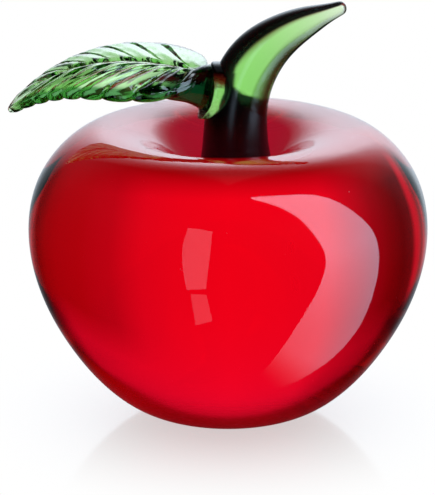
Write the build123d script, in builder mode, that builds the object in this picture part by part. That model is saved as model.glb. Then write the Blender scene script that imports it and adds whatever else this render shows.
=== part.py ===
"""Art glass apple: a solid red body, a curled green stem, and a pressed green leaf on the stem's side.

Millimetres, +Z up. The origin is the centre of the ground foot. The stem curls over towards +X and
the leaf reaches out towards -X.
"""
from build123d import *
import os
from math import cos, pi, radians, sin

# Body: one solid gather of red glass, ground flat underneath
body_diameter = 80.0
body_height = 59.4
girth_height = 39.0
foot_diameter = 19.0
foot_bevel = 0.3
foot_slope = 10.0
crest_diameter = 46.6
dimple_depth = 6.6
lower_outline_shares = [(0.457, 0.064), (0.635, 0.192), (0.808, 0.41), (0.9425, 0.679)]
upper_outline_shares = [(0.897, 0.441), (0.611, 0.784), (0.425, 0.90), (0.257, 0.965), (0.138, 0.991)]
dimple_outline_shares = [(0.773, 0.22), (0.541, 0.727), (0.343, 0.955)]

# Stem: one bit of green glass, set in the dimple, drawn up and curled over
stem_diameter = 14.2
stem_offset = 1.6
stem_seat_depth = 0.6
stem_rise = 31.95
stem_reach = 21.1
stem_tip_slope = 22.0
stem_axis_shares = [(0.0, 0.304), (0.049, 0.493), (0.172, 0.662), (0.387, 0.804), (0.621, 0.896)]
stem_section_shares = [(0.0, 1.0), (0.09, 0.94), (0.18, 0.893), (0.30, 0.85), (0.467, 0.80), (0.56, 0.735),
                       (0.663, 0.622), (0.752, 0.517), (0.844, 0.394), (0.94, 0.24), (1.0, 0.17)]
stem_tip_round_share = 0.85

# Pad: the dollop of glass that joins the leaf's stalk to the stem
pad_height = 12.8
pad_width = 9.2
pad_thickness = 1.6
pad_round = 0.8
pad_rise = 14.7
pad_forward = 0.4

# Leaf: one bit of green glass, its blade pressed in a ribbed tool and its stalk drawn out of the same bit
leaf_length = 40.1
leaf_width = 26.2
leaf_turn = 10.0
leaf_roll = 9.5
leaf_arch_radius = 50.0
leaf_thickness = 1.8
leaf_edge_thickness = 1.2
leaf_root_inset = 1.0
leaf_root_back = 1.2
leaf_root_rise = 4.2
midrib_rise_shares = [(0.33, 0.062), (0.68, 0.092), (1.0, -0.232)]
leaf_round_exponent_share = 0.656
leaf_full_exponent_share = 0.672
blade_section_shares = [0.03, 0.10, 0.22, 0.36, 0.52, 0.68, 0.82, 0.92, 0.975]

# Ribs: rounded ridges that sweep from the midrib out past the blade's edge, with a narrow groove between two
groove_width = 0.3
rib_sink = 0.3
rib_depth = 0.7
far_root_shares = [0.03, 0.07, 0.20, 0.33, 0.46, 0.58, 0.69, 0.79]
far_end_shares = [0.12, 0.29, 0.45, 0.59, 0.70, 0.80, 0.885, 0.95]
near_root_shares = [0.03, 0.06, 0.13, 0.23, 0.34, 0.46, 0.58, 0.70]
near_end_shares = [0.12, 0.30, 0.47, 0.60, 0.70, 0.79, 0.87, 0.94]
rib_sweep_share = 0.8
rib_height_share = 0.2
rib_section_shares = [(0.06, 0.70, 0.35), (0.25, 0.96, 0.80), (0.60, 1.0, 1.0), (0.88, 0.95, 0.90),
                      (1.07, 0.50, 0.40)]

# Stalk: the neck of the leaf's own bit, flared where it meets the pad
stalk_length = 17.0
stalk_height = 12.4
stalk_width = 9.2
stalk_rise = 4.6
stalk_swing = 3.6
stalk_section_shares = [(0.0, 1.0, 1.0), (0.1, 0.90, 0.90), (0.27, 0.73, 0.79), (0.47, 0.60, 0.82),
                        (0.73, 0.38, 0.80), (1.0, 0.12, 0.5)]

body_radius = body_diameter / 2
foot_radius = foot_diameter / 2
crest_radius = crest_diameter / 2
shoulder_height = body_height - girth_height
shoulder_width = body_radius - crest_radius
dimple_floor = body_height - dimple_depth
stem_radius = stem_diameter / 2

# The stem's axis rises straight out of the dimple and bends over towards +X
stem_foot = Vector(stem_offset, 0, dimple_floor - stem_seat_depth)
with BuildLine() as stem_axis:
    Spline(
        stem_foot,
        *[stem_foot + Vector(stem_reach * out, 0, stem_rise * up) for out, up in stem_axis_shares],
        stem_foot + Vector(stem_reach, 0, stem_rise),
        tangents=[(0, 0, 1), (cos(radians(stem_tip_slope)), 0, sin(radians(stem_tip_slope)))],
    )


def stem_bit(thicker):
    """The stem's tapered horn, made thicker all round by a length."""
    with BuildPart() as bit:
        for along, girth in stem_section_shares:
            with BuildSketch(Plane(stem_axis.line @ along, x_dir=(0, 1, 0), z_dir=stem_axis.line % along)):
                Circle(stem_radius * girth + thicker)
        loft()
    return bit.part


with BuildPart() as stem:
    add(stem_bit(0))
    tip = stem.faces().filter_by(GeomType.PLANE).sort_by(Axis.X)[-1]
    tip_radius = stem_radius * stem_section_shares[-1][1]
    fillet(tip.edges(), tip_radius * stem_tip_round_share)

# The body's outline is a smooth curve from the foot over the girth to the crest, and another into the dimple
lower_outline = [(body_radius * out, girth_height * up) for out, up in lower_outline_shares]
upper_outline = [
    (crest_radius + shoulder_width * out, girth_height + shoulder_height * up)
    for out, up in upper_outline_shares
]
dimple_outline = [
    (crest_radius * out, body_height - dimple_depth * down) for out, down in dimple_outline_shares
]
with BuildPart() as body:
    with BuildSketch(Plane.XZ):
        with BuildLine():
            Line((0, 0), (foot_radius - foot_bevel, 0))
            Line((foot_radius - foot_bevel, 0), (foot_radius, foot_bevel))
            Spline(
                (foot_radius, foot_bevel),
                *lower_outline,
                (body_radius, girth_height),
                *upper_outline,
                (crest_radius, body_height),
                tangents=[(cos(radians(foot_slope)), sin(radians(foot_slope))), (-1, 0)],
            )
            Spline(
                (crest_radius, body_height),
                *dimple_outline,
                (0, dimple_floor),
                tangents=[(-1, 0), (-1, 0)],
            )
            Line((0, dimple_floor), (0, 0))
        make_face()
    revolve(axis=Axis.Z)
    add(stem.part, mode=Mode.SUBTRACT)

# The pad wraps the stem's left side, where the stalk meets it
pad_centre = stem_foot + Vector(0, -pad_forward, pad_rise)
with BuildPart() as leaf_pad:
    with BuildSketch(Plane(pad_centre, x_dir=(0, 1, 0), z_dir=(-1, 0, 0))):
        Ellipse(pad_width / 2, pad_height / 2)
    extrude(amount=stem_diameter)
    add(stem_bit(pad_thickness), mode=Mode.INTERSECT)
    add(stem.part, mode=Mode.SUBTRACT)
    outside = leaf_pad.faces().sort_by(Axis.X)[0]
    fillet(outside.edges(), pad_round)

# The blade's midrib is a curve in an upright plane, turned a little towards the back
turn = radians(leaf_turn)
reach = Vector(-cos(turn), sin(turn), 0) * leaf_length
leaf_root = pad_centre + Vector(leaf_root_inset - stem_radius, leaf_root_back, leaf_root_rise)
with BuildLine() as midrib:
    Bezier(
        leaf_root,
        *[leaf_root + reach * out + Vector(0, 0, leaf_length * up) for out, up in midrib_rise_shares],
    )


def half_width(along):
    """Half the blade's width at a share of its length."""
    return leaf_width / 2 * sin(pi * along**leaf_round_exponent_share) ** leaf_full_exponent_share


def blade_frame(along):
    """The midrib's place, heading, sideways direction to the back, and upward normal."""
    heading = midrib.line % along
    level = heading.cross(Vector(0, 0, 1)).normalized()
    rise = level.cross(heading)
    roll = radians(leaf_roll)
    side = level * cos(roll) + rise * sin(roll)
    return midrib.line @ along, heading, side, side.cross(heading)


def on_blade(along, across):
    """A point on the blade's arched top, at a share of its length and a distance from the midrib."""
    place, _, side, up = blade_frame(along)
    swing = across / leaf_arch_radius
    return place + side * leaf_arch_radius * sin(swing) - up * leaf_arch_radius * (1 - cos(swing))


def groove_point(root, end, side, out):
    """A point on the groove line that leaves the midrib at root and meets the edge at end."""
    along = root + (end - root) * out**rib_sweep_share
    return on_blade(along, side * half_width(along) * out)


def rib(roots, ends, side):
    """One rounded rib of the blade, between two neighbouring groove lines on one side."""
    _, _, _, up = blade_frame((roots[0] + ends[1]) / 2)
    with BuildPart() as bit:
        for out, wide, tall in rib_section_shares:
            before, after = [groove_point(root, end, side, out) for root, end in zip(roots, ends)]
            across = after - before
            half = (across.length - groove_width) / 2 * wide
            crown = across.length * rib_height_share * tall
            with BuildSketch(Plane((before + after) / 2, x_dir=across, z_dir=across.cross(up))):
                with BuildLine():
                    ThreePointArc((-half, -rib_sink), (0, crown), (half, -rib_sink))
                    ThreePointArc((half, -rib_sink), (0, -rib_depth), (-half, -rib_sink))
                make_face()
        loft()
    return bit.part


def stalk():
    """The stalk, drawn out of the blade's underside and flared where it meets the pad."""
    start = pad_centre + Vector(-stem_radius / 2, 0, 0)
    with BuildPart() as bit:
        for out, tall, wide in stalk_section_shares:
            centre = start + Vector(-stalk_length * out, -stalk_swing * out**2, stalk_rise * out**1.5)
            with BuildSketch(Plane(centre, x_dir=(0, 1, 0), z_dir=(-1, 0, 0))):
                Ellipse(stalk_width / 2 * wide, stalk_height / 2 * tall)
        loft()
    return bit.part


def blade():
    """The smooth blade under the ribs: an arched tongue of glass with round edges."""
    edge = leaf_edge_thickness
    with BuildPart() as bit:
        for along in blade_section_shares:
            place, heading, side, _ = blade_frame(along)
            wide = half_width(along)
            sag = leaf_arch_radius - (leaf_arch_radius**2 - wide**2) ** 0.5
            with BuildSketch(Plane(place, x_dir=side, z_dir=-heading)):
                with BuildLine():
                    ThreePointArc((-wide, -sag), (0, 0), (wide, -sag))
                    ThreePointArc((wide, -sag), (wide + edge / 2, -sag - edge / 2), (wide, -sag - edge))
                    ThreePointArc((wide, -sag - edge), (0, -leaf_thickness), (-wide, -sag - edge))
                    ThreePointArc((-wide, -sag - edge), (-wide - edge / 2, -sag - edge / 2), (-wide, -sag))
                make_face()
        loft()
    return bit.part


with BuildPart() as leaf:
    add(blade())
    for line_roots, line_ends, side in (
        (far_root_shares, far_end_shares, 1),
        (near_root_shares, near_end_shares, -1),
    ):
        for roots, ends in zip(zip(line_roots, line_roots[1:]), zip(line_ends, line_ends[1:])):
            add(rib(roots, ends, side))
    add(stalk())
    add(stem_bit(pad_thickness), mode=Mode.SUBTRACT)

os.makedirs("parts", exist_ok=True)
body.part.label = "body"
export_step(body.part, "parts/body.step")
stem.part.label = "stem"
export_step(stem.part, "parts/stem.step")
leaf_pad.part.label = "leaf_pad"
export_step(leaf_pad.part, "parts/leaf_pad.step")
leaf.part.label = "leaf"
export_step(leaf.part, "parts/leaf.step")
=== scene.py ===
"""Art glass apple: a solid red body, a curled green stem, the pad on the stem's side and the pressed leaf.

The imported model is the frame. Every piece is modelled here again, because clear glass needs smooth walls.
Lengths in the lists are in mm.
"""
import math

import bpy
import numpy as np
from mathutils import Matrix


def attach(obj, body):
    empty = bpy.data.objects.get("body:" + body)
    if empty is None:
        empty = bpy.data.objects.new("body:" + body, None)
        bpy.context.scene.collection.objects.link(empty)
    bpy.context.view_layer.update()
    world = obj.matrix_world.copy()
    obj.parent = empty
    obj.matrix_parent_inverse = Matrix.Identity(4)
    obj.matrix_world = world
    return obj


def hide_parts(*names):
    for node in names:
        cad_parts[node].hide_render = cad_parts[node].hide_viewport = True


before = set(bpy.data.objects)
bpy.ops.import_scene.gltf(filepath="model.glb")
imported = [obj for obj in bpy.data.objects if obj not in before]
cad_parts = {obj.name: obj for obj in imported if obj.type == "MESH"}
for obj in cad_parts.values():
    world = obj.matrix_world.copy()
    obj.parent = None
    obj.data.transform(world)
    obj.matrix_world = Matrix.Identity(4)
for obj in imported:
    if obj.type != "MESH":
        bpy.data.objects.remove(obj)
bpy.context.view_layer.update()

mm = 0.001

# ---------------------------------------------------------------------------------------------------------
# Body. One solid gather of clear red glass, shaped in a wooden block while it turned, with a dimple pressed
# for the stem. It was cracked off the iron underneath, and the scar is ground to a small flat foot.
# ---------------------------------------------------------------------------------------------------------

# Half the outline, out from the axis and up: the foot, the side up to the crest, and the dimple
foot_outline = [(0, 0), (5, 0), (8.4, 0), (9.1, 0), (9.35, 0.12)]
side_outline = [
    (9.5, 0.3), (18.28, 2.5), (25.4, 7.49), (32.32, 15.99), (37.7, 26.48), (40, 39), (38.28, 48), (33.5, 55),
    (30.6, 57.34), (28.0, 58.67), (26.2, 59.22), (24.1, 59.4),
]
dimple_outline = [
    (24.1, 59.4), (20.6, 59.0), (17.4, 58.05), (14.6, 56.55), (12.3, 54.7), (10.4, 52.7), (8.9, 51.2),
    (7.8, 50.5), (0, 50.2),
]
foot_slope, level_inwards = (0.985, 0.174), (-1, 0)
body_steps = 128
wave_depth = 0.12 * mm
speck_roughness = 0.35
speck_core = 0.03
red_kept = (0.983, 0.0, 0.39)
ground_roughness, ground_top = 0.5, 0.4 * mm
haze_roughness, haze_top, haze_full = 0.3, 19 * mm, 9 * mm


def smooth_line(points, count, start=None, end=None):
    """Points along one smooth curve through the given ones, with a set direction at an end where given."""
    points = np.array(points, float)
    spans = np.linalg.norm(np.diff(points, axis=0), axis=1)
    rows = len(points)
    system, wanted = np.zeros((rows, rows)), np.zeros(points.shape)
    for i in range(1, rows - 1):
        before, after = 1 / spans[i - 1], 1 / spans[i]
        system[i, i - 1:i + 2] = before, 2 * (before + after), after
        wanted[i] = 3 * ((points[i] - points[i - 1]) * before**2 + (points[i + 1] - points[i]) * after**2)
    for row, near, span, slope, step in (
        (0, 1, spans[0], start, points[1] - points[0]),
        (-1, -2, spans[-1], end, points[-1] - points[-2]),
    ):
        system[row, row] = 2
        if slope is None:
            system[row, near] = 1
            wanted[row] = 3 * step / span
        else:
            wanted[row] = 2 * np.array(slope, float) / np.linalg.norm(slope)
    slopes = np.linalg.solve(system, wanted)
    marks = np.concatenate([[0], np.cumsum(spans)])
    at = np.linspace(0, marks[-1], count)
    left = np.clip(np.searchsorted(marks, at, side="right") - 1, 0, rows - 2)
    span = spans[left][:, None]
    part = (at - marks[left])[:, None] / span
    return (
        (1 + 2 * part) * (1 - part)**2 * points[left]
        + part * (1 - part)**2 * span * slopes[left]
        + part**2 * (3 - 2 * part) * points[left + 1]
        + part**2 * (part - 1) * span * slopes[left + 1]
    )


def rest_at_origin(piece):
    """Puts the object's own origin at the frame's origin, unturned and unscaled."""
    bpy.ops.object.mode_set(mode="OBJECT")
    bpy.ops.object.select_all(action="DESELECT")
    piece.select_set(True)
    bpy.context.view_layer.objects.active = piece
    bpy.ops.object.transform_apply(location=True, rotation=True, scale=True)


def subdivide_once(piece):
    """Subdivides the selected piece's mesh once and smooths it."""
    bpy.ops.object.modifier_add(type="SUBSURF")
    piece.modifiers[0].levels = 1
    bpy.ops.object.modifier_apply(modifier=piece.modifiers[0].name)
    bpy.ops.object.shade_smooth()


# The outline is drawn out of one point, step by step, and spun round the axis
bpy.ops.object.select_all(action="DESELECT")
bpy.ops.mesh.primitive_plane_add(size=mm, location=(0, 0, 0))
body_glass = bpy.context.object
body_glass.name = "body_glass"
bpy.ops.object.mode_set(mode="EDIT")
bpy.ops.mesh.select_all(action="SELECT")
bpy.ops.mesh.merge(type="CENTER")
outline = np.concatenate([
    foot_outline,
    smooth_line(side_outline, 64, start=foot_slope, end=level_inwards),
    smooth_line(dimple_outline, 34, start=level_inwards, end=level_inwards)[1:],
]) * mm
for step in np.diff(outline, axis=0):
    bpy.ops.mesh.extrude_region_move(TRANSFORM_OT_translate={"value": (step[0], 0, step[1])})
bpy.ops.mesh.select_all(action="SELECT")
bpy.ops.mesh.spin(steps=body_steps, angle=math.tau, center=(0, 0, 0), axis=(0, 0, 1))
bpy.ops.mesh.select_all(action="SELECT")
bpy.ops.mesh.remove_doubles(threshold=0.01 * mm)
bpy.ops.mesh.normals_make_consistent(inside=False)
rest_at_origin(body_glass)
subdivide_once(body_glass)


def give(tree, value, socket):
    """Sets a socket to a value, or links it to another node's output."""
    if isinstance(value, bpy.types.NodeSocket):
        tree.links.new(value, socket)
    else:
        socket.default_value = value


def computed(tree, operation, *values):
    """The output of a Math node on values and outputs."""
    step = tree.nodes.new("ShaderNodeMath")
    step.operation = operation
    for value, socket in zip(values, step.inputs):
        give(tree, value, socket)
    return step.outputs[0]


def faded(tree, value, start, end, low=0.0, high=1.0, way="SMOOTHSTEP"):
    """A level that goes from low to high while the value goes from start to end."""
    fade = tree.nodes.new("ShaderNodeMapRange")
    fade.interpolation_type = way
    give(tree, value, fade.inputs["Value"])
    give(tree, start, fade.inputs["From Min"])
    give(tree, end, fade.inputs["From Max"])
    give(tree, low, fade.inputs["To Min"])
    give(tree, high, fade.inputs["To Max"])
    return fade.outputs["Result"]


def own_axes(tree):
    """X, Y and Z over the piece, in its own coordinates."""
    place = tree.nodes.new("ShaderNodeTexCoord")
    axes = tree.nodes.new("ShaderNodeSeparateXYZ")
    tree.links.new(place.outputs["Object"], axes.inputs[0])
    return axes.outputs


# Every piece of hand-worked glass shares this: slow waves left by the tools, and small specks on its skin
worked = bpy.data.node_groups.new("worked_glass", "ShaderNodeTree")
for setting in ("Wave scale", "Speck scale", "Speck size"):
    worked.interface.new_socket(name=setting, in_out="INPUT", socket_type="NodeSocketFloat")
for result in ("Wave height", "Specks"):
    worked.interface.new_socket(name=result, in_out="OUTPUT", socket_type="NodeSocketFloat")
settings = worked.nodes.new("NodeGroupInput")
surface = worked.nodes.new("ShaderNodeTexCoord")
waves = worked.nodes.new("ShaderNodeTexNoise")
waves.inputs["Detail"].default_value = 1
worked.links.new(settings.outputs["Wave scale"], waves.inputs["Scale"])
worked.links.new(surface.outputs["Object"], waves.inputs["Vector"])
dust = worked.nodes.new("ShaderNodeTexVoronoi")
dust.inputs["Randomness"].default_value = 1
worked.links.new(settings.outputs["Speck scale"], dust.inputs["Scale"])
worked.links.new(surface.outputs["Object"], dust.inputs["Vector"])
specks = faded(worked, dust.outputs["Distance"], settings.outputs["Speck size"], speck_core, way="LINEAR")
finish = worked.nodes.new("NodeGroupOutput")
worked.links.new(waves.outputs["Fac"], finish.inputs["Wave height"])
worked.links.new(specks, finish.inputs["Specks"])


def clear_glass(name, kept, density, wave_scale, speck_scale, speck_size):
    """Fire-polished clear glass that is coloured by its depth, a little wavy and with specks on it."""
    glass = bpy.data.materials.new(name)
    glass.use_nodes = True
    tree = glass.node_tree
    shader = tree.nodes["Principled BSDF"]
    shader.inputs["Base Color"].default_value = (1, 1, 1, 1)
    shader.inputs["IOR"].default_value = 1.5
    shader.inputs["Transmission Weight"].default_value = 1
    polish = tree.nodes.new("ShaderNodeGroup")
    polish.node_tree = worked
    polish.inputs["Wave scale"].default_value = wave_scale
    polish.inputs["Speck scale"].default_value = speck_scale
    polish.inputs["Speck size"].default_value = speck_size
    wavy = tree.nodes.new("ShaderNodeBump")
    wavy.inputs["Strength"].default_value = 0.5
    wavy.inputs["Distance"].default_value = wave_depth
    tree.links.new(polish.outputs["Wave height"], wavy.inputs["Height"])
    tree.links.new(wavy.outputs["Normal"], shader.inputs["Normal"])
    dusty = computed(tree, "MULTIPLY", polish.outputs["Specks"], speck_roughness)
    tree.links.new(dusty, shader.inputs["Roughness"])
    depth = tree.nodes.new("ShaderNodeVolumeAbsorption")
    depth.inputs["Color"].default_value = (*kept, 1)
    depth.inputs["Density"].default_value = density
    tree.links.new(depth.outputs["Volume"], tree.nodes["Material Output"].inputs["Volume"])
    return glass


def dull(glass, roughness):
    """Makes the glass at least as rough as an output says, and leaves the specks on it."""
    tree = glass.node_tree
    socket = tree.nodes["Principled BSDF"].inputs["Roughness"]
    dusty = socket.links[0].from_socket
    tree.links.new(computed(tree, "MAXIMUM", roughness, dusty), socket)


# The foot is ground matt, and the glass above it scatters a little
red_glass = clear_glass("red_glass", red_kept, density=100, wave_scale=70, speck_scale=260, speck_size=0.055)
tree = red_glass.node_tree
height = own_axes(tree)["Z"]
ground = faded(tree, height, ground_top, 0.1 * mm, high=ground_roughness, way="LINEAR")
haze = faded(tree, height, haze_top, haze_full, high=haze_roughness)
dull(red_glass, computed(tree, "MAXIMUM", ground, haze))
body_glass.data.materials.append(red_glass)
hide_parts("body")
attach(body_glass, "root")

# ---------------------------------------------------------------------------------------------------------
# Stem. One bit of deep green glass, dropped on the body while both are soft, so its foot melts into the
# dimple. It is drawn up and curled over to the right, and the tip is rounded in the flame.
# ---------------------------------------------------------------------------------------------------------

# The middle line in X and Z, and the radius by the length walked along it
stem_line = smooth_line(
    [(1.6, 49.8), (1.6, 61.9), (2.65, 67.95), (5.25, 73.35), (9.8, 77.9), (14.7, 80.83), (22.1, 83.95)],
    400, start=(0, 1), end=(0.927, 0.375),
)
stem_girth = smooth_line([
    (0, 7.6), (3.1, 7.1), (3.9, 6.96), (6.1, 6.62), (9.8, 6.32), (14.8, 6.04), (21.7, 5.68), (25.5, 5.22),
    (29.8, 4.42), (33.5, 3.67), (37.3, 2.8), (40.8, 1.85), (43.1, 1.4),
], 400)
stem_walk = np.concatenate([[0], np.cumsum(np.linalg.norm(np.diff(stem_line, axis=0), axis=1))])
stem_length = stem_walk[-1]
girth_shares = stem_girth[:, 0] / stem_girth[-1, 0]
stem_headings = np.gradient(stem_line, axis=0)
stem_headings = stem_headings / np.linalg.norm(stem_headings, axis=1, keepdims=True)
horn_rings, horn_sides = 40, 64
tip_turns, tip_stretch = np.radians([18, 36, 54, 70, 83]), 0.85

# Painted shade on the stem: where it starts on the outer side, by the length walked, and the top of the
# foot's painted shade
shade_walked, shade_from = [12.4, 14.7, 15.7, 16.8, 19.1, 22.4], [-1.2, -0.7, -0.45, -0.03, 0.21, 0.47]
shade_blur = 0.12
inner_shade, inner_from, inner_end, inner_fade, inner_least = 0.62, 0.28, 43.4, 12, 0.35
foot_shade_top, foot_shade_blur = 64.6, 3.0
painted_shade_tone = (0.0015, 0.003, 0.006, 1)
shaded_roughness = 0.25
green_kept = (0.278, 0.809, 0.0)

# The pad's seat on the stem, where the painted shade on the outer side stops: how high its middle is, and
# its half sizes
seat_height, seat_half_width, seat_half_height = 67.3, 5.2, 5.5


def stem_place(walked):
    """A place on the stem's middle line, in X and Z."""
    return np.array([np.interp(walked, stem_walk, stem_line[:, k]) for k in (0, 1)])


def closed_tube(name, rings, marks=None):
    """A closed mesh over rings of points, with a pole at each end and a mark on each point where given."""
    count, sides = rings.shape[:2]
    points = np.concatenate([rings.reshape(-1, 3), [rings[0].mean(0)], [rings[-1].mean(0)]])
    faces = []
    for i in range(count - 1):
        for j in range(sides):
            k = (j + 1) % sides
            faces.append((i * sides + j, i * sides + k, (i + 1) * sides + k, (i + 1) * sides + j))
    low, high = count * sides, count * sides + 1
    for j in range(sides):
        k = (j + 1) % sides
        faces.append((low, k, j))
        faces.append((high, (count - 1) * sides + j, (count - 1) * sides + k))
    mesh = bpy.data.meshes.new(name)
    mesh.from_pydata(points.tolist(), [], faces)
    if marks is not None:
        mark = mesh.attributes.new("rim_shade_depth", "FLOAT", "POINT")
        mark.data.foreach_set("value", np.concatenate([marks.ravel(), [0, 0]]).astype(np.float32))
    piece = bpy.data.objects.new(name, mesh)
    bpy.context.collection.objects.link(piece)
    bpy.ops.object.select_all(action="DESELECT")
    piece.select_set(True)
    bpy.context.view_layer.objects.active = piece
    bpy.ops.object.mode_set(mode="EDIT")
    bpy.ops.mesh.select_all(action="SELECT")
    bpy.ops.mesh.remove_doubles(threshold=0.002 * mm)
    bpy.ops.mesh.normals_make_consistent(inside=False)
    bpy.ops.object.mode_set(mode="OBJECT")
    bpy.ops.object.shade_smooth()
    return piece


def draw_horn(name, thicker):
    """The curled horn of the stem, made thicker all round by a length in mm."""
    stations = []
    for share in np.linspace(0, 1, horn_rings):
        walked = share * stem_length
        ahead = stem_place(min(walked + 0.05, stem_length))
        behind = stem_place(max(walked - 0.05, 0))
        heading = (ahead - behind) / np.linalg.norm(ahead - behind)
        girth = np.interp(share, girth_shares, stem_girth[:, 1]) + thicker
        stations.append((stem_place(walked), heading, girth))
    place, heading, girth = stations[-1]
    for turn in tip_turns:
        cap_place = place + heading * girth * tip_stretch * np.sin(turn)
        stations.append((cap_place, heading, girth * np.cos(turn)))
    around = np.linspace(0, math.tau, horn_sides, endpoint=False)
    rings = []
    for place, heading, girth in stations:
        across = np.array([heading[1], 0, -heading[0]])
        rings.append(np.array([place[0], 0, place[1]]) + girth * (
            np.cos(around)[:, None] * across + np.sin(around)[:, None] * np.array([0, 1, 0])))
    return closed_tube(name, np.array(rings) * mm)


def eased(share):
    """A share from 0 to 1, slow at both ends."""
    share = np.clip(share, 0, 1)
    return share * share * (3 - 2 * share)


stem_glass = draw_horn("stem_glass", 0)
subdivide_once(stem_glass)

# Marks the painted shade on the mesh: 1 on the outer side and on the foot, and less on the inner side
places = np.empty(len(stem_glass.data.vertices) * 3)
stem_glass.data.vertices.foreach_get("co", places)
places = places.reshape(-1, 3) / mm
gaps = np.hypot(places[:, None, 0] - stem_line[None, ::4, 0], places[:, None, 2] - stem_line[None, ::4, 1])
nearest = np.argmin(gaps, axis=1) * 4
off_line = places[:, [0, 2]] - stem_line[nearest]
outward = (
    off_line[:, 1] * stem_headings[nearest, 0] - off_line[:, 0] * stem_headings[nearest, 1]
) / np.hypot(np.hypot(*off_line.T), places[:, 1])
walked = nearest / (len(stem_line) - 1) * stem_length
outer = eased((outward - np.interp(walked, shade_walked, shade_from)) / shade_blur)
seat_sides = np.abs(places[:, 1] / seat_half_width)**np.where(places[:, 2] > seat_height, 1.74, 2.4)
seat_ends = np.abs((places[:, 2] - seat_height) / seat_half_height)**2.4
outer = np.where((seat_sides + seat_ends < 1) & (outward > 0), 0, outer)
inner = inner_shade * eased((-outward - inner_from) / shade_blur) * np.clip(
    (inner_end - walked) / inner_fade, inner_least, 1)
foot_shade = eased((foot_shade_top - places[:, 2]) / foot_shade_blur)
mark = stem_glass.data.attributes.new("painted_stem_shade", "FLOAT", "POINT")
mark.data.foreach_set("value", np.maximum(np.maximum(outer, inner), foot_shade).astype(np.float32))


def mixed(tree, share, first, second, way="MIX"):
    """The colour at a share between two colours, or the two put together another way."""
    mix = tree.nodes.new("ShaderNodeMix")
    mix.data_type = "RGBA"
    mix.blend_type = way
    mix.clamp_result = False
    for value, number in ((share, 0), (first, 6), (second, 7)):
        give(tree, value, mix.inputs[number])
    return mix.outputs[2]


green_glass = clear_glass(
    "green_glass", green_kept, density=150, wave_scale=70, speck_scale=260, speck_size=0.07)
tree = green_glass.node_tree
# The stem is painted near black as shade on its outer side, less on its inner side, and on the foot in the
# dimple
stem_shade = tree.nodes.new("ShaderNodeAttribute")
stem_shade.attribute_name = "painted_stem_shade"
tone = mixed(tree, stem_shade.outputs["Fac"], (1, 1, 1, 1), painted_shade_tone)
tree.links.new(tone, tree.nodes["Principled BSDF"].inputs["Base Color"])
dull(green_glass, computed(tree, "MULTIPLY", stem_shade.outputs["Fac"], shaded_roughness))
stem_glass.data.materials.append(green_glass)
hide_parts("stem")
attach(stem_glass, "root")

# ---------------------------------------------------------------------------------------------------------
# Pad. The dollop of hot green glass on the stem's left side that the leaf's stalk was stuck to. It saddles
# the stem, with a straight flank, a small round lip and a blunter lower end.
# ---------------------------------------------------------------------------------------------------------
pad_half_width, pad_half_height, pad_thick, pad_lip = 5.35, 5.7, 1.45, 0.3
pad_sink = 0.25
pad_point, pad_blunt = 1.15, 0.82
# The pad's own tint, and the near black painted on its top as shade where it meets the leaf's stalk
pad_tone, pad_top_shade_tone = (0.95, 1, 0.95, 1), (0.0006, 0.012, 0.01, 1)
top_shade_start, top_shade_full = 70.2 * mm, 71.6 * mm


def stem_left(across, up, lift):
    """How far left the stem's surface, raised by a length in mm, lies at places across and up."""
    shape = np.broadcast(across, up).shape
    across, up = np.broadcast_to(across, shape).ravel(), np.broadcast_to(up, shape).ravel()
    out = np.interp(stem_walk / stem_length, girth_shares, stem_girth[:, 1]) + lift
    found = []
    for y, z in zip(across, up):
        flank = np.sqrt(np.maximum(out**2 - y**2, 0))
        left = stem_line[:, 0] - flank * stem_headings[:, 1]
        high = stem_line[:, 1] + flank * stem_headings[:, 0]
        found.append(np.interp(z, high, left))
    return np.array(found).reshape(shape)


def pressed_disc(name, thinner):
    """The pad: an upright oval disc on the stem's left side, made smaller all round by a length in mm."""
    wide, high, thick = pad_half_width - thinner, pad_half_height - thinner, pad_thick - thinner
    under = -pad_sink - 3 * thinner
    flank = [(0, lift) for lift in np.linspace(under, thick - pad_lip, 8)]
    lip = [(pad_lip * (1 - math.cos(turn)), thick - pad_lip + pad_lip * math.sin(turn))
           for turn in np.radians([15, 30, 45, 60, 75, 90])]
    side = [(1 - inset / wide, 1 - inset / high, lift) for inset, lift in flank + lip]
    inwards = np.linspace(1, 0.02, 14)[1:]
    face = [(side[-1][0] * part, side[-1][1] * part, thick) for part in inwards]
    back = [(part, part, under) for part in inwards[::-1]]
    around = np.linspace(0, math.tau, 96, endpoint=False)
    full = np.where(np.sin(around) > 0, pad_point, pad_blunt)
    rings = []
    for part_wide, part_high, lift in back + side + face:
        y = wide * part_wide * np.sign(np.cos(around)) * np.abs(np.cos(around))**full
        z = seat_height + high * part_high * np.sign(np.sin(around)) * np.abs(np.sin(around))**pad_blunt
        rings.append(np.stack([stem_left(y, z, lift), y, z], -1))
    return closed_tube(name, np.array(rings) * mm)


pad_glass = pressed_disc("pad_glass", 0)
bpy.ops.object.shade_smooth_by_angle(angle=math.radians(35))
pad_finish = clear_glass(
    "pad_green_glass", green_kept, density=95, wave_scale=90, speck_scale=300, speck_size=0.06)
tree = pad_finish.node_tree
# The pad's top is painted near black: painted shade where it meets the leaf's stalk
pad_top_shade = faded(tree, own_axes(tree)["Z"], top_shade_start, top_shade_full)
tone = mixed(tree, pad_top_shade, pad_tone, pad_top_shade_tone)
tree.links.new(tone, tree.nodes["Principled BSDF"].inputs["Base Color"])
pad_glass.data.materials.append(pad_finish)
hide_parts("leaf_pad")
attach(pad_glass, "root")

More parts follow.
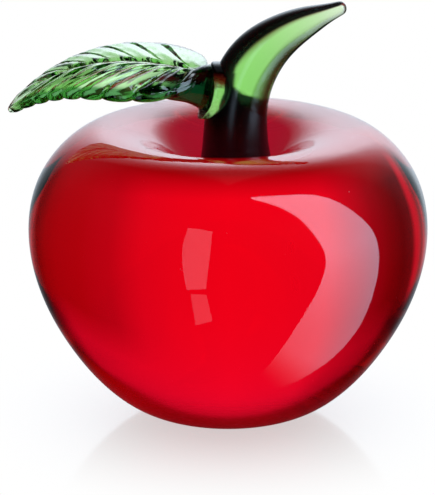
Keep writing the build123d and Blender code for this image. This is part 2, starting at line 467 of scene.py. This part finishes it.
# ---------------------------------------------------------------------------------------------------------
# Leaf. One bit of green glass, pressed between the ribbed jaws of a leaf tool, so that rounded ribs sweep
# from the midrib out past the edge with narrow grooves between them. The stalk is drawn out of the same bit.
# ---------------------------------------------------------------------------------------------------------
leaf_length, leaf_width = 40.1, 26.2
leaf_turn, leaf_roll, leaf_arch = math.radians(10), math.radians(9.5), 50.0
leaf_root = np.array([-4.5, 0.8, 71.1])
leaf_reach = np.array([-math.cos(leaf_turn), math.sin(leaf_turn), 0]) * leaf_length
midrib = [leaf_root + leaf_reach * out + np.array([0, 0, leaf_length * up])
          for out, up in ((0, 0), (0.33, 0.062), (0.68, 0.092), (1.0, -0.232))]

# Each groove leaves the midrib at a root and meets the edge at an end, both as shares of the leaf's length
far, near = 1, -1
groove_roots = {
    far: [0, 0.07, 0.20, 0.33, 0.46, 0.58, 0.69, 0.79, 1],
    near: [0, 0.03, 0.06, 0.13, 0.23, 0.34, 0.46, 0.58, 0.70, 1],
}
groove_ends = {
    far: [0, 0.29, 0.45, 0.59, 0.70, 0.80, 0.885, 0.95, 1],
    near: [0, 0.12, 0.30, 0.47, 0.60, 0.70, 0.79, 0.87, 0.94, 1],
}
groove_sweep = 0.8
far_crown, far_flute, far_groove_root, far_groove_growth, far_thick = 0.3, 0.035, 0.35, 0.55, 1.7
near_crown, near_sink, near_flute, near_thick = 1.3, 0.4, 0.07, 1.6
midrib_sink, tool_ripple = 0.5, 0.05
edge_hollow = 0.4
blade_ring_count = 460
blade_outs = np.concatenate([np.linspace(0, 0.66, 13), np.linspace(0.7, 1, 13)])
edge_turns = np.radians(np.linspace(90, -90, 11)[1:-1])
end_turns, end_round = np.radians([22, 45, 66, 82]), 0.8

# The stalk's middle in X, Y and Z, and its half width and half height
stalk_points = [
    (-1.0, -0.3, 67.2, 4.0, 5.2), (-3.0, -0.5, 67.5, 3.9, 5.1), (-4.6, -0.8, 67.8, 3.7, 4.7),
    (-7.8, -1.6, 68.2, 3.3, 3.15), (-10.45, -2.5, 68.15, 3.1, 2.3), (-13.5, -3.7, 68.4, 2.8, 1.65),
    (-16.3, -5.0, 68.7, 2.2, 1.15), (-18.1, -5.9, 68.95, 1.6, 0.75), (-20.7, -7.2, 69.2, 0.8, 0.4),
]
stem_gap, pad_overlap = 0.1, 0.35
# Painted shade: the rim and the thick stalk are painted dark, and the far half greyer than the near one
rim_shade_tone, stalk_shade_tone = (0.03, 0.16, 0.045, 1), (0.006, 0.05, 0.045, 1)
near_tone, far_shade_tone = (0.85, 1, 0.9, 1), (0.66, 0.74, 0.71, 1)
midrib_lean = 0.176        # the tangent of the leaf's turn
far_start, far_full = -0.5 * mm, 1.5 * mm
stalk_start, stalk_full = -20 * mm, -11 * mm
blade_under, stalk_middle = 71.4 * mm, 69.6 * mm


def on_blade(along, across):
    """Places on the blade's arched middle sheet, with the directions sideways, up and along there."""
    a = along[..., None]
    p0, p1, p2, p3 = midrib
    place = (1 - a)**3 * p0 + 3 * (1 - a)**2 * a * p1 + 3 * (1 - a) * a**2 * p2 + a**3 * p3
    heading = (1 - a)**2 * (p1 - p0) + 2 * (1 - a) * a * (p2 - p1) + a**2 * (p3 - p2)
    heading = heading / np.linalg.norm(heading, axis=-1, keepdims=True)
    level = np.cross(heading, [0, 0, 1])
    level = level / np.linalg.norm(level, axis=-1, keepdims=True)
    rise = np.cross(level, heading)
    side = level * math.cos(leaf_roll) + rise * math.sin(leaf_roll)
    up = np.cross(side, heading)
    swing = (across / leaf_arch)[..., None]
    point = place + side * leaf_arch * np.sin(swing) - up * leaf_arch * (1 - np.cos(swing))
    sideways = side * np.cos(swing) - up * np.sin(swing)
    upwards = up * np.cos(swing) + side * np.sin(swing)
    return point, sideways, upwards, heading


def half_width(along):
    """Half the blade's width at a share of its length."""
    return leaf_width / 2 * np.sin(math.pi * np.clip(along, 0, 1)**0.656)**0.672


def far_half_width(along):
    """The far edge's distance: nearly straight runs between corners at the groove ends."""
    corners = np.array(groove_ends[far][1:-1])
    chord = np.interp(along, corners, half_width(corners))
    spot = np.interp(along, corners, range(len(corners)))
    run = chord - edge_hollow * np.sin(math.pi * (spot % 1)**0.8)
    return np.where((along > corners[0]) & (along < corners[-1]), run, half_width(along))


def groove_count(side, roots):
    """How many grooves of a side lie before places on the midrib, with the part of the way to the next."""
    return np.interp(roots, groove_roots[side], range(len(groove_roots[side])))


def blade_roots():
    """Where the blade's rings leave the midrib: close together beside the grooves."""
    fine = np.linspace(0, 1, 4001)
    crowding = 0
    for side in (far, near):
        count = groove_count(side, fine)
        beside_groove = np.exp(-((count - count.round()) / 0.13)**2)
        crowding = crowding + np.gradient(count, fine) * (1 + 3 * beside_groove)
    walk = np.cumsum(crowding + 4)
    return np.interp(np.linspace(walk[0], walk[-1], blade_ring_count + 2)[1:-1], walk, fine)


def pressed_half(side, ring_roots):
    """The top, edge and bottom of one half of the blade, and how deep each point is in the rim that is
    painted dark as shade.
    """
    roots, out = ring_roots[:, None], blade_outs[None, :]
    ends = np.interp(ring_roots, groove_roots[side], groove_ends[side])[:, None]
    along = roots + (ends - roots) * out**groove_sweep
    count = groove_count(side, ring_roots)[:, None]
    off = np.abs((count % 1) - 0.5) * 2
    wide = half_width(along)
    if side == far:
        # Low ribs with a narrow groove between two, and an edge with corners
        wide = wide + (far_half_width(ends) - half_width(ends)) * out**4
        inside_ends = (count > 0.5) & (count < len(groove_roots[side]) - 1.5)
        groove = 1 - eased(((1 - off) / (0.3 + 0.7 * out) - 0.12) / 0.16)
        groove = np.where(inside_ends, groove, 0) * eased((out - 0.06) / 0.12) * eased((0.885 - out) / 0.04)
        flutes = far_flute * (1 - eased((roots - 0.55) / 0.2)) * np.cos(math.tau * 2 * count)
        tall = (far_crown * (1 - off**2) + flutes) * eased(out / 0.3) * eased((1 - out) / 0.25)
        tall = tall - (far_groove_root + far_groove_growth * out) * groove
        thick = far_thick - 0.6 * out
        lobe = np.ones_like(off)
    else:
        # High round ribs that get lower towards the tip and stand out past the edge as lobes
        hump = (1 - off**2.1)**0.5
        dome = np.sqrt(np.clip(1 - (np.clip(out - 0.82, 0, 1) / 0.16)**2, 0, 1))
        flatter = 1 - 0.7 * eased((roots - 0.45) / 0.4)
        flutes = near_flute * (1 - eased((roots - 0.5) / 0.3)) * np.cos(math.tau * 3 * count)
        tall = ((near_crown * hump - near_sink) * flatter + flutes) * (eased((out - 0.05) / 0.3) * dome)
        thick = near_thick + 0.55 * (hump - 0.4) * eased((out - 0.1) / 0.3) * flatter
        lobe = 0.7 + 0.3 * hump
    tall = tall - (
        midrib_sink * (1 - eased(wide * out / 0.9))
        * eased((along - 0.03) / 0.08) * eased((0.97 - along) / 0.1))
    across = side * wide * out
    tall = tall + (
        tool_ripple * np.sin(1.3 * across + 70 * along) * np.sin(95 * along - 0.7 * across + 1)
        * eased(out / 0.2))
    point, sideways, up, _ = on_blade(along, across)
    top = point + up * tall[..., None]
    bottom = point - up * thick[..., None]
    middle = (top[:, -1:] + bottom[:, -1:]) / 2
    half = (top[:, -1:] - bottom[:, -1:]) / 2
    edge = middle + half * np.sin(edge_turns)[None, :, None] + (
        sideways[:, -1:] * side * np.linalg.norm(half, axis=-1, keepdims=True) * lobe[..., None]
        * np.cos(edge_turns)[None, :, None])
    # Marks for the rim painted dark as shade: the whole edge, and on the near half the face close to it,
    # faded towards both ends
    fading = eased((0.93 - roots) / 0.3) * eased((roots - 0.01) / 0.03)
    face_mark = 0 * along if side == far else eased((out - 0.88) / 0.08) * fading
    edge_mark = np.ones((blade_ring_count, len(edge_turns))) * fading
    return (top, edge, bottom), (face_mark, edge_mark, face_mark)


def joined_halves(far_half, near_half):
    """One row of points, or marks, round the blade for each ring, from the two halves."""
    top, edge, bottom = far_half
    near_top, near_edge, near_bottom = near_half
    return np.concatenate(
        [top, edge, bottom[:, ::-1], near_bottom[:, 1:], near_edge[:, ::-1], near_top[:, :0:-1]], axis=1)


def round_end(ring, heading):
    """Rings that close the blade's end in a small round."""
    centre = ring.mean(0)
    return [centre + (ring - centre) * math.cos(turn) + heading * end_round * math.sin(turn)
            for turn in end_turns]


def drawn_stalk():
    """The stalk, an oval rod that swells towards the pad."""
    around = np.linspace(0, math.tau, 64, endpoint=False)
    rings = []
    for *centre, wide, tall in smooth_line(stalk_points, 40):
        rings.append(centre + np.stack([0 * around, wide * np.cos(around), tall * np.sin(around)], -1))
    return closed_tube("stalk", np.array(rings) * mm)


ring_roots = blade_roots()
far_sheets, far_marks = pressed_half(far, ring_roots)
near_sheets, near_marks = pressed_half(near, ring_roots)
rings, marks = joined_halves(far_sheets, near_sheets), joined_halves(far_marks, near_marks)
root_end = round_end(rings[0], -on_blade(np.array(0.0), np.array(0.0))[3])
tip_end = round_end(rings[-1], on_blade(np.array(1.0), np.array(0.0))[3])
rings = np.concatenate([root_end[::-1], rings, tip_end])
marks = np.concatenate([marks[:1]] * len(root_end) + [marks] + [marks[-1:]] * len(tip_end))
leaf_glass = closed_tube("leaf_glass", rings * mm, marks)
for other, operation in (
    (drawn_stalk(), "UNION"),
    (draw_horn("stalk_cutter", stem_gap), "DIFFERENCE"),
    (pressed_disc("pad_cutter", pad_overlap), "DIFFERENCE"),
):
    bpy.context.view_layer.objects.active = leaf_glass
    bpy.ops.object.select_all(action="DESELECT")
    leaf_glass.select_set(True)
    join = leaf_glass.modifiers.new("join", "BOOLEAN")
    join.operation = operation
    join.solver = "EXACT"
    join.object = other
    bpy.ops.object.modifier_apply(modifier="join")
    bpy.data.objects.remove(other)
bpy.ops.object.shade_smooth_by_angle(angle=math.radians(50))

# The thick stalk and the rim are painted dark as shade, and the far half is painted greyer than the near
# one, also as shade
leaf_finish = clear_glass(
    "leaf_green_glass", green_kept, density=210, wave_scale=90, speck_scale=300, speck_size=0.05)
tree = leaf_finish.node_tree
axes = own_axes(tree)
across_midrib = computed(tree, "MULTIPLY_ADD", axes["X"], midrib_lean, axes["Y"])
far_share = faded(tree, across_midrib, far_start, far_full)
rim_shade = tree.nodes.new("ShaderNodeAttribute")
rim_shade.attribute_name = "rim_shade_depth"
towards_pad = faded(tree, axes["X"], stalk_start, stalk_full)
under_blade = faded(tree, axes["Z"], blade_under, stalk_middle)
tone = mixed(tree, far_share, near_tone, far_shade_tone)
tone = mixed(tree, rim_shade.outputs["Fac"], tone, rim_shade_tone)
tone = mixed(tree, computed(tree, "MULTIPLY", towards_pad, under_blade), tone, stalk_shade_tone)
tree.links.new(tone, tree.nodes["Principled BSDF"].inputs["Base Color"])
leaf_glass.data.materials.append(leaf_finish)
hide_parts("leaf")
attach(leaf_glass, "root")

# ---------------------------------------------------------------------------------------------------------
# Studio. A white acrylic table in front of a lit white backdrop, a tall softbox that curves round the right
# side, two strip lights in front at the left, and a dark room on the camera's side.
# ---------------------------------------------------------------------------------------------------------
light_colour = (0.8, 1.0, 1.28, 1)
light_away, apple_middle = 0.9, 0.03
low_power_height, full_power_height = -0.8, 0.1
light_end, light_end_full = -0.838, -0.70

bpy.ops.object.select_all(action="DESELECT")
bpy.ops.mesh.primitive_circle_add(vertices=128, radius=0.6, fill_type="NGON", location=(0, 0, -0.15 * mm))
table = bpy.context.object
table.name = "table"
table.visible_glossy = False
table.visible_transmission = False
rest_at_origin(table)

# The table is seen a little darker near the foot, where it mirrors the apple, and white further out
acrylic = bpy.data.materials.new("white_acrylic")
acrylic.use_nodes = True
tree = acrylic.node_tree
sheet = tree.nodes["Principled BSDF"]
sheet.inputs["Base Color"].default_value = (0.86, 0.86, 0.86, 1)
sheet.inputs["Roughness"].default_value = 0.1
place = tree.nodes.new("ShaderNodeTexCoord")
distance = tree.nodes.new("ShaderNodeVectorMath")
distance.operation = "LENGTH"
tree.links.new(place.outputs["Object"], distance.inputs[0])
white_share = faded(tree, distance.outputs["Value"], 0.015, 0.058, low=0.56)
seen = tree.nodes.new("ShaderNodeLightPath")
white = tree.nodes.new("ShaderNodeEmission")
white.inputs["Color"].default_value = (1, 1, 1, 1)
white.inputs["Strength"].default_value = 1
laid_over = tree.nodes.new("ShaderNodeMixShader")
white_seen = computed(tree, "MULTIPLY", white_share, seen.outputs["Is Camera Ray"])
tree.links.new(white_seen, laid_over.inputs["Fac"])
tree.links.new(sheet.outputs["BSDF"], laid_over.inputs[1])
tree.links.new(white.outputs["Emission"], laid_over.inputs[2])
tree.links.new(laid_over.outputs[0], tree.nodes["Material Output"].inputs["Surface"])
table.data.materials.append(acrylic)


def towards(bearing, height):
    """A light's place: its bearing in degrees from the backdrop's middle to the right, and height angle."""
    bearing, height = math.radians(bearing), math.radians(height)
    return (
        light_away * math.sin(bearing) * math.cos(height),
        light_away * math.cos(bearing) * math.cos(height),
        apple_middle + light_away * math.sin(height),
    )


def light_panel(name, inner, outer, power, low_power, count=32):
    """A bent light panel that only glass shows, between two edges of bearings and height angles."""
    points = [towards(*spot) for spot in smooth_line(inner, count)]
    points += [towards(*spot) for spot in smooth_line(outer, count)]
    faces = [(i, i + 1, count + i + 1, count + i) for i in range(count - 1)]
    mesh = bpy.data.meshes.new(name)
    mesh.from_pydata(points, [], faces)
    panel = bpy.data.objects.new(name, mesh)
    bpy.context.collection.objects.link(panel)
    panel.visible_camera = False
    panel.visible_shadow = False
    panel.visible_transmission = False
    panel.visible_diffuse = False
    glow = bpy.data.materials.new(name)
    glow.use_nodes = True
    tree = glow.node_tree
    tree.nodes.remove(tree.nodes["Principled BSDF"])
    lit = tree.nodes.new("ShaderNodeEmission")
    lit.inputs["Color"].default_value = light_colour
    height = own_axes(tree)["Z"]
    strength = faded(
        tree, height, low_power_height, full_power_height, low=low_power, high=power, way="LINEAR")
    soft_end = faded(tree, height, light_end, light_end_full)
    tree.links.new(computed(tree, "MULTIPLY", strength, soft_end), lit.inputs["Strength"])
    tree.links.new(lit.outputs[0], tree.nodes["Material Output"].inputs["Surface"])
    mesh.materials.append(glow)


light_panel(
    "softbox_right",
    [(152, 69), (138, 59), (131, 44), (128, 20), (125, 1), (127, -17), (131, -34), (134, -51), (133, -65),
     (131, -75)],
    [(150, 71), (123, 66), (97, 51), (94, 32), (91, 13), (88, -3), (86, -18), (82, -32), (77, -43),
     (75, -54), (79, -64), (88, -75)],
    4.4, 1.0,
)
light_panel(
    "strip_front", [(-154, 38), (-154, 22), (-155, 4), (-157, -18)], [(-170, 36), (-170, 11), (-168, -17)],
    1.1, 1.1,
)
light_panel("strip_front_low", [(-159, -21), (-159, -43)], [(-168, -21), (-170, -40)], 0.8, 0.8)

# The room, by bearing and height angle: one look through the glass and another mirrored on it
world = bpy.data.worlds.new("studio")
bpy.context.scene.world = world
world.use_nodes = True
room = world.node_tree
looking = room.nodes.new("ShaderNodeTexCoord")
axes = room.nodes.new("ShaderNodeSeparateXYZ")
room.links.new(looking.outputs["Generated"], axes.inputs[0])
bearing = computed(room, "ARCTAN2", axes.outputs["X"], axes.outputs["Y"])
height = computed(room, "ARCSINE", axes.outputs["Z"])


def tinted(level):
    """A colour from one level or three."""
    return (*level, 1) if isinstance(level, tuple) else (level, level, level, 1)


def room_shade(angle, stops, brightest=1.0):
    """A colour of the room by an angle; each stop is an angle in degrees and one level or three."""
    lowest, highest = stops[0][0], stops[-1][0]
    share = faded(room, angle, math.radians(lowest), math.radians(highest), way="LINEAR")
    ramp = room.nodes.new("ShaderNodeValToRGB")
    ramp.color_ramp.interpolation = "LINEAR"
    points = ramp.color_ramp.elements
    while len(points) < len(stops):
        points.new(0.5)
    for point, (at, level) in zip(points, stops):
        point.position = (at - lowest) / (highest - lowest)
        point.color = (*[part / brightest for part in tinted(level)[:3]], 1)
    room.links.new(share, ramp.inputs["Fac"])
    return mixed(room, 1.0, ramp.outputs["Color"], tinted(brightest), "MULTIPLY")


through = room_shade(bearing, [
    (-180, 0.8), (-158, 0.8), (-148, (0.4, 0.25, 0.25)), (-130, (0.35, 0.15, 0.15)),
    (-112, (0.3, 0.15, 0.15)), (-104, 0.75), (-78, 0.75), (-72, 0.05), (-66, 0.7), (-62, 0.7), (-58, 0.08),
    (-50, (0.1, 0.06, 0.06)), (-42, (0.22, 0.12, 0.12)), (-35, (0.36, 0.3, 0.3)), (-27, 0.65), (-20, 0.98),
    (0, 1.06), (10, 0.98), (17, 0.88), (25, (0.6, 0.5, 0.5)), (36, (0.5, 0.22, 0.22)),
    (48, (0.45, 0.16, 0.16)), (57, (0.35, 0.1, 0.1)), (68, (0.05, 0.03, 0.03)), (76, 0.1), (80, 0.75),
    (104, 0.75), (112, (0.3, 0.15, 0.15)), (130, (0.35, 0.12, 0.12)), (148, (0.4, 0.25, 0.25)),
    (158, 0.8), (180, 0.8),
], 1.2)
through_high = room_shade(bearing, [
    (-180, 0.8), (-158, 0.8), (-148, 0.5), (-130, 0.5), (-100, 0.3), (-75, 0.05), (-50, 0.1), (-44, 0.4),
    (-28, 0.7), (-20, 1.0), (0, 1.06), (25, 0.9), (45, 0.75), (55, 0.3), (68, 0.05), (80, 0.2), (104, 0.6),
    (130, 0.5), (148, 0.5), (158, 0.8), (180, 0.8),
], 1.2)
rising = room_shade(height, [(-90, 0.0), (8, 0.0), (19, 1.0), (90, 1.0)])
through = mixed(room, rising, through, through_high)
under = room_shade(height, [(-90, 1.0), (-35, 1.0), (-25, 0.0), (40, 0.0), (90, 0.0)])
through = mixed(room, under, through, (0.38, 0.16, 0.16, 1))
through_above = room_shade(bearing, [
    (-180, 0.6), (-148, 0.55), (-125, 0.45), (-100, 0.25), (-60, 0.12), (-42, 0.15), (-30, 0.8),
    (-20, 0.95), (20, 0.95), (30, 0.8), (42, 0.15), (60, 0.12), (100, 0.15), (125, 0.4), (148, 0.65),
    (180, 0.6),
])
above = room_shade(height, [(-90, 0.0), (32, 0.0), (44, 1.0), (90, 1.0)])
through = mixed(room, above, through, through_above)
overhead = room_shade(height, [(-90, 0.0), (45, 0.0), (62, 1.0), (90, 1.0)])
through = mixed(room, overhead, through, (0.3, 0.15, 0.15, 1))

mirrored = room_shade(bearing, [
    (-180, 0.0), (-60, 0.01), (-36, 0.02), (-25, 0.2), (-18, 0.45), (-10, 0.75), (-5, 0.95), (0, 1.0),
    (18, 1.0), (26, 0.4), (32, 0.2), (40, 0.07), (60, 0.02), (180, 0.0),
])
mirrored_height = room_shade(height, [
    (-90, 0.0), (-40, 0.004), (-30, 0.02), (-20, 0.1), (-10, 0.33), (0, 0.45), (9, 0.65), (14, 0.75),
    (22, 1.0), (31, 1.2), (37, 1.0), (44, 0.7), (50, 0.35), (60, 0.07), (90, 0.02),
], 1.2)
mirrored = mixed(room, 1.0, mirrored, mirrored_height, "MULTIPLY")
mirrored = mixed(room, 1.0, mirrored, (2.5, 2.85, 3.2, 1), "MULTIPLY")

seen = room.nodes.new("ShaderNodeLightPath")
level = mixed(room, seen.outputs["Is Diffuse Ray"], mirrored, tinted(0.9))
level = mixed(room, seen.outputs["Is Transmission Ray"], level, through)
level = mixed(room, seen.outputs["Is Camera Ray"], level, tinted(1.0))
room.links.new(level, room.nodes["Background"].inputs["Color"])

camera_data = bpy.data.cameras.new("camera")
camera_data.lens = 252.8
camera_data.sensor_width = 36
camera_data.clip_start = 0.01
camera = bpy.data.objects.new("camera", camera_data)
bpy.context.collection.objects.link(camera)
camera.location = (0, -0.66760, 0.24050)
aim = np.array([-0.0021, 0, 0.0346]) - np.array(camera.location)
camera.rotation_euler = (math.atan2(math.hypot(aim[0], aim[1]), -aim[2]), 0, math.atan2(-aim[0], aim[1]))
bpy.context.scene.camera = camera
bpy.context.scene.view_settings.view_transform = "Standard"
